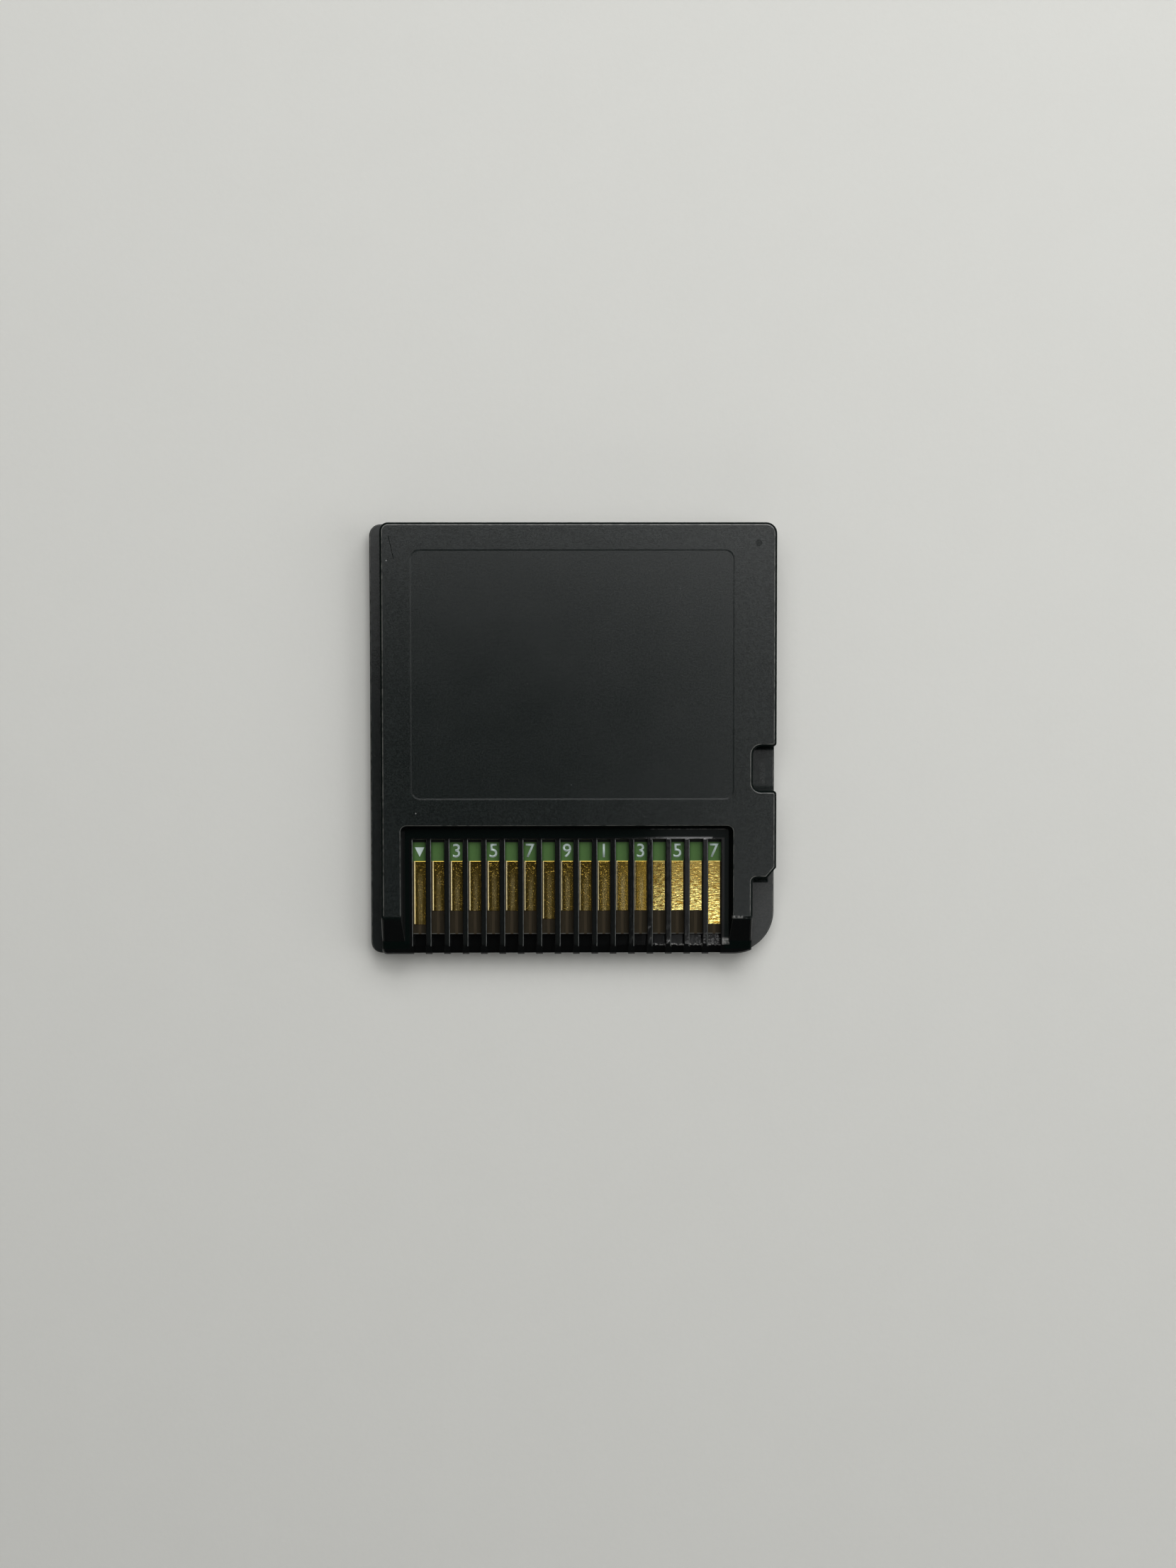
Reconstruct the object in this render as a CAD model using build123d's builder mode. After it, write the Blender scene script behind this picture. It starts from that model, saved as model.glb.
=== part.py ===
"""Game card for a handheld console, lying on its label side with the contacts up.

Frame: +Z is up, out of the back face. +Y points to the thumb edge, away from the contacts.
The origin is on the label face, in the middle of the card's plan. Sizes are in millimetres.
"""

import math
import os

from build123d import *

# Contact row, seen through the window in the back shell
contact_count = 17
contact_pitch = 1.5
slot_width = 1.05
pad_side_gap = 0.025
pad_thickness = 0.05
pad_flank_angle = 45.0
pad_length = 4.05
pad_end_gap = 1.91
long_pad = 8
long_pad_end_gap = 1.23
outer_pad_end_gap = 0.79

# Stack of levels, from the label face up to the back face
front_floor = 0.7
chip_room = 1.1
seat_lip = 0.3
board_thickness = 0.6
comb_thickness = 0.6
window_depth = 0.8
cover_wall = 0.8

# Plan of the card, from its left edge to its right edge
guide_width = 1.0
side_wall = 1.0
board_clearance = 0.15
board_side_margin = 1.9
shoulder_width = 1.9
corner_radius = 0.9
key_corner_radius = 3.4

# Plan of the card, from the contact edge to the thumb edge
card_length = 35.0
contact_setback = 1.64
rear_room = 7.0
nose_length = 6.25
shoulder_chamfer_x = 0.76
shoulder_chamfer_y = 0.9
shoulder_chamfer_radius = 0.3
shoulder_corner_radius = 0.25
notch_from_contact_edge = 15.17
notch_width = 3.56
notch_corner_radius = 0.65
notch_mouth_radius = 0.3

# Window, comb and sloped nose
window_length = 10.26
window_side_ledge = 0.62
window_root_ledge = 0.86
window_wall_run = 0.3
window_corner_radius = 0.2
window_edge_radius = 0.1
rib_edge_radius = 0.08
sill_height = 0.3
foot_length = 0.65
foot_flare = 0.045
nose_slope_length = 3.1
nose_slope_angle = 20.0
nose_slope_radius = 1.0

# Back face
back_corner_radius = 0.7
back_foot_radius = 0.4
back_edge_radius = 0.25
panel_side_margin = 3.43
panel_thumb_margin = 2.17
panel_window_gap = 2.11
panel_corner_radius = 0.8
panel_depth = 0.08
panel_wall_run = 0.12
gate_mark_radius = 0.235
gate_mark_depth = 0.06
gate_mark_inset_x = 1.5
gate_mark_inset_y = 1.67

# Label face
front_edge_radius = 0.25
seam_radius = 0.1
label_side_margin = 1.6
label_contact_margin = 2.2
label_thumb_margin = 5.6
label_corner_radius = 1.2
label_depth = 0.12

# Seats and pins that hold the board
board_ledge = 1.2
board_corner_radius = 0.4
boss_radius = 1.2
boss_inset = 2.6
pin_radius = 0.6
pin_clearance = 0.1
pin_setback = 0.1
press_rib_length = 12.0
press_rib_width = 0.8

# Memory chip and save chip, with gull-wing leads
chip_standoff = 0.05
chip_height = 0.85
chip_edge_chamfer = 0.12
chip_mark_radius = 0.4
chip_mark_depth = 0.05
chip_mark_inset = 1.0
chip_side_gap = 2.0
chip_gap = 1.6
rom_chip_length = 12.0
rom_chip_width = 9.0
save_chip_length = 4.9
save_chip_width = 3.9
lead_pitch = 0.8
save_lead_pitch = 1.27
lead_width = 0.3
lead_thickness = 0.13
lead_shoulder = 0.25
lead_drop_run = 0.2
lead_foot = 0.5
lead_end_margin = 0.5

# Chip capacitors beside the save chip
capacitor_count = 3
capacitor_pitch = 2.0
capacitor_length = 1.0
capacitor_width = 0.5
capacitor_terminal = 0.2
capacitor_gap = 1.5

# How far a cutting shape runs past the surface that it cuts
overrun = 1.0

# Levels worked out from the stack
board_underside = front_floor + chip_room
board_top = board_underside + board_thickness
ledge_level = board_top + comb_thickness
card_thickness = ledge_level + window_depth
parting = board_underside - seat_lip
ceiling = card_thickness - cover_wall
sill_level = parting + sill_height

# Plan across the card
row_span = (contact_count - 1) * contact_pitch
board_width = row_span + 2 * board_side_margin
bay_width = board_width + 2 * board_clearance
card_width = guide_width + side_wall + bay_width + side_wall + shoulder_width
card_left = -card_width / 2
card_right = card_width / 2
back_left = card_left + guide_width
row_x = back_left + side_wall + bay_width / 2
nose_right = card_right - shoulder_width
contact_x = [row_x - row_span / 2 + k * contact_pitch for k in range(contact_count)]
window_foot_width = row_span + slot_width + 2 * window_side_ledge

# Plan along the card
contact_edge = -card_length / 2
thumb_edge = card_length / 2
board_front = contact_edge + contact_setback
board_rear = thumb_edge - rear_room
board_length = board_rear - board_front
board_y = (board_front + board_rear) / 2
bay_front = board_front - board_clearance
rear_inner = thumb_edge - side_wall
shoulder_y = contact_edge + nose_length
notch_y = contact_edge + notch_from_contact_edge
window_foot_y = contact_edge + window_length
window_edge_y = window_foot_y + window_wall_run
slot_root_y = window_foot_y - window_root_ledge
slope_top_y = contact_edge + nose_slope_length
foot_y = contact_edge + foot_length
pad_top_y = board_front + pad_end_gap + pad_length
pad_width = slot_width - 2 * pad_side_gap

# Places of the pins, the chips and the capacitors
boss_y = board_rear - boss_inset
boss_x = (row_x - board_width / 2 + boss_inset, row_x + board_width / 2 - boss_inset)
bay_left = row_x - board_width / 2 + board_ledge
lead_reach = lead_shoulder + lead_drop_run + lead_foot
rom_x = bay_left + chip_side_gap + rom_chip_length / 2
save_x = rom_x + rom_chip_length / 2 + chip_gap + lead_reach + save_chip_width / 2
capacitor_y = board_y - save_chip_length / 2 - capacitor_gap
chip_top = board_underside - chip_standoff
chip_bottom = chip_top - chip_height
chip_middle = (chip_top + chip_bottom) / 2

os.makedirs("parts", exist_ok=True)

# Plan outline that both shells share, with one large keying corner
with BuildSketch() as card_outline:
    with BuildLine():
        FilletPolyline(
            (card_left, contact_edge),
            (card_right, contact_edge),
            (card_right, thumb_edge),
            (card_left, thumb_edge),
            radius=(corner_radius, key_corner_radius, corner_radius, corner_radius),
            close=True,
        )
    make_face()

# Back shell: cover, latch notch, shoulder step, sloped nose and the comb over the contacts
with BuildPart() as back_shell:
    with BuildSketch(Plane.XY.offset(parting)) as back_plan:
        add(card_outline.sketch)
        with Locations((card_left, contact_edge)):
            Rectangle(guide_width, card_length, align=(Align.MIN, Align.MIN), mode=Mode.SUBTRACT)
        left_corners = back_plan.vertices().group_by(Axis.X)[0].sort_by(Axis.Y)
        fillet(left_corners[-1], back_corner_radius)
        left_corners = back_plan.vertices().group_by(Axis.X)[0].sort_by(Axis.Y)
        fillet(left_corners[0], back_foot_radius)
        with Locations((nose_right, notch_y)):
            RectangleRounded(
                2 * shoulder_width,
                notch_width,
                notch_corner_radius,
                align=(Align.MIN, Align.CENTER),
                mode=Mode.SUBTRACT,
            )
        with BuildLine():
            FilletPolyline(
                (nose_right, contact_edge - overrun),
                (card_right + shoulder_chamfer_x, contact_edge - overrun),
                (card_right + shoulder_chamfer_x, shoulder_y + 2 * shoulder_chamfer_y),
                (card_right - shoulder_chamfer_x, shoulder_y),
                (nose_right, shoulder_y),
                radius=(0, 0, 0, shoulder_chamfer_radius, shoulder_corner_radius),
                close=True,
            )
        make_face(mode=Mode.SUBTRACT)
        right_corners = back_plan.vertices().group_by(Axis.X)[-1].sort_by(Axis.Y)
        fillet(right_corners[1:3], notch_mouth_radius)
    extrude(amount=card_thickness - parting)

    # Sloped nose that leads the contacts in
    slope_fall = math.tan(math.radians(nose_slope_angle))
    with BuildSketch(Plane.YZ.offset(card_left)):
        with BuildLine():
            Polyline(
                (slope_top_y, card_thickness),
                (slope_top_y, card_thickness + overrun),
                (contact_edge - overrun, card_thickness + overrun),
                (contact_edge - overrun, card_thickness - (nose_slope_length + overrun) * slope_fall),
                close=True,
            )
        make_face()
    extrude(amount=card_width, mode=Mode.SUBTRACT)
    slope_top = back_shell.edges().filter_by(Axis.X).group_by(Axis.Z)[-1].sort_by(Axis.Y)[0]
    fillet(slope_top, nose_slope_radius)

    # Rounded rim all round the back face and down both sides of the slope
    upper_edges = (
        back_shell.edges()
        .filter_by(Axis.Z, reverse=True)
        .filter_by_position(Axis.Z, parting + back_edge_radius, card_thickness)
    )
    slope_bend_edges = upper_edges.filter_by(Axis.X).filter_by_position(
        Axis.Y, slope_top_y - nose_slope_radius, slope_top_y + nose_slope_radius
    )
    fillet(upper_edges - slope_bend_edges, back_edge_radius)

    # Shallow panel and gate mark on the back face
    with BuildSketch(Plane.XY.offset(card_thickness)):
        panel_foot = window_edge_y + panel_window_gap
        panel_head = thumb_edge - panel_thumb_margin
        with Locations((0, (panel_foot + panel_head) / 2)):
            RectangleRounded(card_width - 2 * panel_side_margin, panel_head - panel_foot, panel_corner_radius)
    panel_wall_angle = math.degrees(math.atan2(panel_wall_run, panel_depth))
    extrude(amount=-panel_depth, taper=panel_wall_angle, mode=Mode.SUBTRACT)
    with BuildSketch(Plane.XY.offset(card_thickness)):
        with Locations((card_right - gate_mark_inset_x, thumb_edge - gate_mark_inset_y)):
            Circle(gate_mark_radius)
    extrude(amount=-gate_mark_depth, mode=Mode.SUBTRACT)

    # Window with drafted walls, open at the contact edge
    wall_angle = math.degrees(math.atan2(window_wall_run, window_depth))
    with BuildSketch(Plane.XY.offset(ledge_level)):
        with Locations((row_x, window_foot_y)):
            RectangleRounded(
                window_foot_width,
                window_length + 2 * overrun,
                window_corner_radius,
                align=(Align.CENTER, Align.MAX),
            )
    extrude(amount=window_depth + overrun, taper=-wall_angle, mode=Mode.SUBTRACT)
    window_half = window_foot_width / 2 + window_wall_run + window_edge_radius
    window_rim = (
        back_shell.edges()
        .filter_by_position(Axis.Z, card_thickness - window_edge_radius, card_thickness + window_edge_radius)
        .filter_by_position(Axis.Y, slope_top_y + window_edge_radius, window_edge_y + window_edge_radius)
        .filter_by_position(Axis.X, row_x - window_half, row_x + window_half)
    )
    fillet(window_rim, window_edge_radius)

    # Bay for the board, and the void between the board and the cover
    with BuildSketch(Plane.XY.offset(parting)):
        with Locations((row_x, bay_front)):
            Rectangle(bay_width, rear_inner - bay_front, align=(Align.CENTER, Align.MIN))
    extrude(amount=board_top - parting, mode=Mode.SUBTRACT)
    with BuildSketch(Plane.XY.offset(board_top)):
        with Locations((row_x, window_edge_y + side_wall)):
            Rectangle(
                bay_width,
                rear_inner - window_edge_y - side_wall,
                align=(Align.CENTER, Align.MIN),
            )
    extrude(amount=ceiling - board_top, mode=Mode.SUBTRACT)

    # Core in the thick shoulder beside the bay
    core_foot = notch_y + notch_width / 2 + side_wall
    with BuildSketch(Plane.XY.offset(parting)):
        with Locations((nose_right, core_foot)):
            Rectangle(shoulder_width - side_wall, rear_inner - core_foot, align=(Align.MIN, Align.MIN))
    extrude(amount=ceiling - parting, mode=Mode.SUBTRACT)

    # Posts and rib that press the board onto its seat
    with BuildSketch(Plane.XY.offset(board_top)):
        with Locations(*[(x, boss_y) for x in boss_x]):
            Circle(boss_radius)
        with Locations((row_x, board_y + board_length / 4)):
            Rectangle(press_rib_length, press_rib_width)
    extrude(amount=ceiling - board_top)

    # Slots of the comb, one over each contact, down to the sill that ties the rib feet together
    with BuildSketch(Plane.XY.offset(sill_level)):
        with Locations((row_x, slot_root_y)):
            with GridLocations(contact_pitch, 0, contact_count, 1):
                Rectangle(slot_width, slot_root_y - foot_y, align=(Align.CENTER, Align.MAX))
    extrude(amount=ledge_level - sill_level + overrun, mode=Mode.SUBTRACT)
    with BuildSketch(*[Plane.YZ.offset(x) for x in contact_x]):
        with BuildLine():
            Polyline(
                (foot_y, sill_level),
                (foot_y, ledge_level + overrun),
                (contact_edge - overrun, ledge_level + overrun),
                (contact_edge - overrun, sill_level - (foot_length + overrun) * slope_fall),
                close=True,
            )
        make_face()
    extrude(amount=slot_width / 2 - foot_flare, both=True, mode=Mode.SUBTRACT)
    comb_half = (row_span + slot_width) / 2 + rib_edge_radius
    comb_edges = (
        back_shell.edges()
        .filter_by_position(Axis.Z, ledge_level - rib_edge_radius, ledge_level + rib_edge_radius)
        .filter_by_position(Axis.X, row_x - comb_half, row_x + comb_half)
        .filter_by_position(Axis.Y, contact_edge, slot_root_y + rib_edge_radius)
    )
    rib_edges = comb_edges.filter_by(Axis.Y)
    root_edges = comb_edges.filter_by(Axis.X).group_by(Axis.Y)[-1]
    fillet(rib_edges + root_edges, rib_edge_radius)
back_shell.part.label = "back_shell"
export_step(back_shell.part, "parts/back_shell.step")

# Front shell: flat tray with a guide strip on one side and the seat for the board
with BuildPart() as front_shell:
    extrude(card_outline.sketch, amount=parting)
    fillet(front_shell.faces().sort_by(Axis.Z)[0].edges(), front_edge_radius)
    fillet(front_shell.faces().sort_by(Axis.Z)[-1].edges(), seam_radius)

    # Recess for the label, left bare
    with BuildSketch():
        label_foot = contact_edge + label_contact_margin
        label_head = thumb_edge - label_thumb_margin
        with Locations((0, (label_foot + label_head) / 2)):
            RectangleRounded(card_width - 2 * label_side_margin, label_head - label_foot, label_corner_radius)
    extrude(amount=label_depth, mode=Mode.SUBTRACT)

    # Seat under the rim of the board, and the room for its chips
    with BuildSketch(Plane.XY.offset(parting)):
        with Locations((row_x, board_y)):
            Rectangle(board_width, board_length)
    extrude(amount=seat_lip)
    with BuildSketch(Plane.XY.offset(front_floor)):
        with Locations((row_x, board_y)):
            Rectangle(board_width - 2 * board_ledge, board_length - 2 * board_ledge)
    extrude(amount=chip_room, mode=Mode.SUBTRACT)

    # Bosses and the pins that locate the board
    with BuildSketch(Plane.XY.offset(front_floor)):
        with Locations(*[(x, boss_y) for x in boss_x]):
            Circle(boss_radius)
    extrude(amount=chip_room)
    with BuildSketch(Plane.XY.offset(board_underside)):
        with Locations(*[(x, boss_y) for x in boss_x]):
            Circle(pin_radius)
    extrude(amount=board_thickness - pin_setback)
front_shell.part.label = "front_shell"
export_step(front_shell.part, "parts/front_shell.step")

# Circuit board with two holes for the pins
with BuildPart() as circuit_board:
    with BuildSketch(Plane.XY.offset(board_underside)):
        with Locations((row_x, board_y)):
            RectangleRounded(board_width, board_length, board_corner_radius)
        with Locations(*[(x, boss_y) for x in boss_x]):
            Circle(pin_radius + pin_clearance, mode=Mode.SUBTRACT)
    extrude(amount=board_thickness)
circuit_board.part.label = "circuit_board"
export_step(circuit_board.part, "parts/circuit_board.step")

# Contact pads, all in line at their far ends, with longer ones for supply and ground
end_gaps = {1: outer_pad_end_gap, long_pad: long_pad_end_gap, contact_count: outer_pad_end_gap}
with BuildPart() as contact_pads:
    for number in range(1, contact_count + 1):
        pad_foot_y = board_front + end_gaps.get(number, pad_end_gap)
        with BuildSketch(Plane.XY.offset(board_top)):
            with Locations((contact_x[number - 1], pad_top_y)):
                Rectangle(pad_width, pad_top_y - pad_foot_y, align=(Align.CENTER, Align.MAX))
        extrude(amount=pad_thickness, taper=pad_flank_angle)
contact_pads.part.label = "contact_pads"
export_step(contact_pads.part, "parts/contact_pads.step")


def gull_wing_profile(place, outward):
    """Side view of one lead, from the chip's flank at place to its foot under the board."""
    x, y = place
    side_x, side_y = outward
    profile_plane = Plane((x, y, chip_middle), x_dir=(side_x, side_y, 0), z_dir=(side_y, -side_x, 0))
    rise = board_underside - chip_middle
    half = lead_thickness / 2
    bend = lead_shoulder + lead_drop_run
    with BuildSketch(profile_plane) as profile:
        with BuildLine():
            Polyline(
                (0, -half),
                (lead_shoulder + half, -half),
                (bend + half, rise - lead_thickness),
                (bend + lead_foot, rise - lead_thickness),
                (bend + lead_foot, rise),
                (bend - half, rise),
                (lead_shoulder - half, half),
                (0, half),
                close=True,
            )
        make_face()
    return profile.sketch


# Memory chip under the board, with leads along its two long sides
with BuildPart() as rom_chip:
    with BuildSketch(Plane.XY.offset(chip_bottom)):
        with Locations((rom_x, board_y)):
            Rectangle(rom_chip_length, rom_chip_width)
    extrude(amount=chip_height)
    chamfer(rom_chip.faces().sort_by(Axis.Z)[0].edges(), chip_edge_chamfer)
    with BuildSketch(Plane.XY.offset(chip_bottom)):
        mark_x = rom_x - rom_chip_length / 2 + chip_mark_inset
        mark_y = board_y - rom_chip_width / 2 + chip_mark_inset
        with Locations((mark_x, mark_y)):
            Circle(chip_mark_radius)
    extrude(amount=chip_mark_depth, mode=Mode.SUBTRACT)
rom_chip.part.label = "rom_chip"
export_step(rom_chip.part, "parts/rom_chip.step")

rom_lead_count = int((rom_chip_length - 2 * lead_end_margin) / lead_pitch) + 1
with BuildPart() as rom_chip_leads:
    for side in (-1, 1):
        for index in range(rom_lead_count):
            lead_x = rom_x + (index - (rom_lead_count - 1) / 2) * lead_pitch
            lead_y = board_y + side * rom_chip_width / 2
            extrude(gull_wing_profile((lead_x, lead_y), (0, side)), amount=lead_width / 2, both=True)
rom_chip_leads.part.label = "rom_chip_leads"
export_step(rom_chip_leads.part, "parts/rom_chip_leads.step")

# Save chip beside it, turned so that its leads point along X
with BuildPart() as save_chip:
    with BuildSketch(Plane.XY.offset(chip_bottom)):
        with Locations((save_x, board_y)):
            Rectangle(save_chip_width, save_chip_length)
    extrude(amount=chip_height)
    chamfer(save_chip.faces().sort_by(Axis.Z)[0].edges(), chip_edge_chamfer)
    with BuildSketch(Plane.XY.offset(chip_bottom)):
        mark_x = save_x - save_chip_width / 2 + chip_mark_inset
        mark_y = board_y + save_chip_length / 2 - chip_mark_inset
        with Locations((mark_x, mark_y)):
            Circle(chip_mark_radius)
    extrude(amount=chip_mark_depth, mode=Mode.SUBTRACT)
save_chip.part.label = "save_chip"
export_step(save_chip.part, "parts/save_chip.step")

save_lead_count = int((save_chip_length - 2 * lead_end_margin) / save_lead_pitch) + 1
with BuildPart() as save_chip_leads:
    for side in (-1, 1):
        for index in range(save_lead_count):
            lead_x = save_x + side * save_chip_width / 2
            lead_y = board_y + (index - (save_lead_count - 1) / 2) * save_lead_pitch
            extrude(gull_wing_profile((lead_x, lead_y), (side, 0)), amount=lead_width / 2, both=True)
save_chip_leads.part.label = "save_chip_leads"
export_step(save_chip_leads.part, "parts/save_chip_leads.step")

# Chip capacitors in a row beyond the save chip, with a metal cap on each end
capacitor_middle = board_underside - capacitor_width / 2
with BuildPart() as capacitors:
    with Locations((save_x, capacitor_y, capacitor_middle)):
        with GridLocations(capacitor_pitch, 0, capacitor_count, 1):
            Box(capacitor_length - 2 * capacitor_terminal, capacitor_width, capacitor_width)
capacitors.part.label = "capacitors"
export_step(capacitors.part, "parts/capacitors.step")

with BuildPart() as capacitor_terminals:
    with Locations((save_x, capacitor_y, capacitor_middle)):
        with GridLocations(capacitor_pitch, 0, capacitor_count, 1):
            with GridLocations(capacitor_length - capacitor_terminal, 0, 2, 1):
                Box(capacitor_terminal, capacitor_width, capacitor_width)
capacitor_terminals.part.label = "capacitor_terminals"
export_step(capacitor_terminals.part, "parts/capacitor_terminals.step")
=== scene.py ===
# %% [markdown]
# # A game card, contact side up
# The object is a small card for a handheld console: two black plastic shells welded together, a circuit
# board between them, and a comb-shaped window through which the console's springs reach 17 gold contacts.
# The sizes come from a packed CAD model. Blender adds the finishes, the gold plating, the print on the
# board, the wear, painted highlights and painted shade, and the studio.

# %% Load the packed card
import math
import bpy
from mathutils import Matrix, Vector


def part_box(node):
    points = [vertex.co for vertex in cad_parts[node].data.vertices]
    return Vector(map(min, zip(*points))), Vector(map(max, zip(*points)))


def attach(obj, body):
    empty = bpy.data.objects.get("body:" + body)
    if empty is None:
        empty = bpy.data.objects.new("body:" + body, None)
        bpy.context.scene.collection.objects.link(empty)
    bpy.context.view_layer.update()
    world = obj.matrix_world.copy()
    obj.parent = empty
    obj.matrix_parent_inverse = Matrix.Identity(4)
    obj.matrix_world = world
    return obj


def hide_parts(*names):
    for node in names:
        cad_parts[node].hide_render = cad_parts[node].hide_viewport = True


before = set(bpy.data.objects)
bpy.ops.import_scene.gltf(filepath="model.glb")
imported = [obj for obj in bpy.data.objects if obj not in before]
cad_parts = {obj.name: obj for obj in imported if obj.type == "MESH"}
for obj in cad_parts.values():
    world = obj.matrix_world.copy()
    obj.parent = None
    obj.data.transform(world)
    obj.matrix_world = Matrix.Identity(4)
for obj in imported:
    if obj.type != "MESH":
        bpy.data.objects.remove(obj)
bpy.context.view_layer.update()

from types import SimpleNamespace

import bmesh
import bpy
from mathutils import Vector

mm = 0.001

# %% [markdown]
# ## Where things are
# Every place below is worked out from the boxes of the CAD nodes, so that the looks follow the model.
# The nose is the edge with the contacts, at the low end of Y. The pads all end in line, away from the nose.

# %% Read the main places off the frame
back_low, back_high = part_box("back_shell")
front_low, front_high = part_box("front_shell")
board_low, board_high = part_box("circuit_board")
pads_low, pads_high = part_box("contact_pads")

contact_count = 17
pad_width = 1.0 * mm
nose_y = back_low.y
back_top = back_high.z
board_top = board_high.z
seam = back_low.z
pad_end_y = pads_high.y
first_pad_x = pads_low.x + pad_width / 2
contact_pitch = (pads_high.x - pads_low.x - pad_width) / (contact_count - 1)
row_x = (pads_low.x + pads_high.x) / 2
print("contact pitch in mm:", round(contact_pitch / mm, 3))

# %% [markdown]
# ## The camera
# A hand-held camera looked almost straight down from about 17 cm. Its place and tilt were fitted to the
# card's outline, and the lens is given as a focal length for a frame 36 mm high. A long lens from further
# away would flatten the slot walls, so the real distance is kept.

# %% Camera above the card
camera_place = Vector((-0.083, 4.676, 175.24)) * mm
camera_turn_degrees = (-2.745, -0.45, -0.045)
camera = bpy.data.objects.new("camera", bpy.data.cameras.new("camera"))
bpy.context.scene.collection.objects.link(camera)
camera.location = camera_place
camera.rotation_euler = [math.radians(angle) for angle in camera_turn_degrees]
camera.data.lens = 48.82
camera.data.clip_start = 10 * mm
bpy.context.scene.camera = camera
print("camera height in mm:", round(camera.location.z / mm, 1))

# %% [markdown]
# ## A wire for node trees
# Shader maths reads best as plain arithmetic. A Wire holds one socket, and adding, subtracting or
# multiplying wires puts Math nodes into the tree. Any other node comes from the one method called node,
# which sets the node's own settings first and then fills or links its sockets. Geometry Nodes have the
# same Math nodes, so the class serves both kinds of tree.

# %% The Wire class
class Wire:
    """One socket of a node tree. Arithmetic on wires adds Math nodes to that tree."""

    def __init__(self, tree, socket=None):
        self.tree = tree
        self.socket = socket

    def feed(self, entry, value):
        """Links a wire to an input socket, or sets the socket to a plain value."""
        if isinstance(value, Wire):
            self.tree.links.new(value.socket, entry)
        else:
            entry.default_value = value

    def node(self, kind, settings=None, sockets=None, out=0):
        """Adds one node, and returns its output called out, or a list where out is a list."""
        made = self.tree.nodes.new(kind)
        for name, value in (settings or {}).items():
            setattr(made, name, value)
        for name, value in (sockets or {}).items():
            self.feed(made.inputs[name], value)
        if isinstance(out, list):
            return [Wire(self.tree, made.outputs[name]) for name in out]
        return Wire(self.tree, made.outputs[out])

    def maths(self, operation, *others):
        """A Math node whose first value is this wire."""
        return self.node("ShaderNodeMath", {"operation": operation}, dict(enumerate((self, *others))))

    def __add__(self, other):
        return self.maths("ADD", other)

    def __sub__(self, other):
        return self.maths("SUBTRACT", other)

    def __rsub__(self, other):
        return self.maths("MULTIPLY", -1.0) + other

    def __mul__(self, other):
        return self.maths("MULTIPLY", other)

    def __truediv__(self, other):
        return self.maths("DIVIDE", other)

    __radd__ = __add__
    __rmul__ = __mul__

    def rises(self, low, high):
        """A soft step: 0 where the wire is below low, 1 where it is above high."""
        limits = {"From Min": low, "From Max": high, "Value": self}
        return self.node("ShaderNodeMapRange", {"interpolation_type": "SMOOTHSTEP"}, limits)

    def within(self, low, high, soft):
        """1 between low and high, falling to 0 over the width soft on each side."""
        return self.rises(low - soft, low) * (1 - self.rises(high, high + soft))

    def tint(self, low_colour, high_colour):
        """A colour that goes from one to the other as the wire goes from 0 to 1."""
        sockets = {0: self, 6: low_colour, 7: high_colour}
        return self.node("ShaderNodeMix", {"data_type": "RGBA"}, sockets, out=2)


print("wire methods:", [name for name in vars(Wire) if not name.startswith("_")])

# %% [markdown]
# ## Starting a finish
# Every finish here is a Principled shader whose colour, roughness and bump come from patterns in Object
# coordinates. The pieces sit at the origin with their place in their mesh, so Object coordinates are
# simply the card's own metres, and a pattern can be tied to a pad or to the window by its position.

# %% Helpers that every finish uses
def start_finish(name):
    """A new material: returns it, a wire into its tree, and its Principled shader."""
    finish = bpy.data.materials.new(name)
    finish.use_nodes = True
    tree = finish.node_tree
    shader = tree.nodes["Principled BSDF"]
    return finish, Wire(tree), shader


def card_place(wire):
    """The shaded point, in the card's own metres."""
    return wire.node("ShaderNodeTexCoord", out="Object")


def card_axes(wire, place):
    """X, Y and Z of a point."""
    return wire.node("ShaderNodeSeparateXYZ", None, {"Vector": place}, out=["X", "Y", "Z"])


def dress(wire, shader, sockets):
    """Fills the shader's sockets by name with values or wires."""
    for name, value in sockets.items():
        wire.feed(shader.inputs[name], value)


def colour(red, green, blue):
    return (red, green, blue, 1.0)


print("nodes to dress:", len(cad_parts))

# %% Noise and bump
def grain(wire, place, size, detail=2.0, stretch=None):
    """Cloudy noise from 0 to 1 whose blobs are about size metres across."""
    if stretch:
        place = wire.node("ShaderNodeMapping", None, {"Vector": place, "Scale": stretch})
    return wire.node("ShaderNodeTexNoise", None, {"Vector": place, "Scale": 1 / size, "Detail": detail})


def relief(wire, height, depth, strength):
    """Bump from a height of 0 to 1, where depth is the real height in metres."""
    sockets = {"Height": height, "Distance": depth, "Strength": strength}
    return wire.node("ShaderNodeBump", None, sockets)


print("pattern helpers:", grain.__name__, relief.__name__)

# %% Where a point lies along the contact row
def contact_x(number):
    """Middle of a contact in X, where the first at the left is number 1."""
    return first_pad_x + (number - 1) * contact_pitch


def offset_from_pad_middle(x):
    """How far a point is to the right of the middle of the nearest contact, in metres."""
    steps = (x - first_pad_x) / contact_pitch
    return (steps - steps.maths("ROUND")) * contact_pitch


def distance_from_pad_middle(x):
    return offset_from_pad_middle(x).maths("ABSOLUTE")


print("contacts in mm:", [round(contact_x(number) / mm, 2) for number in (1, contact_count)])

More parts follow.
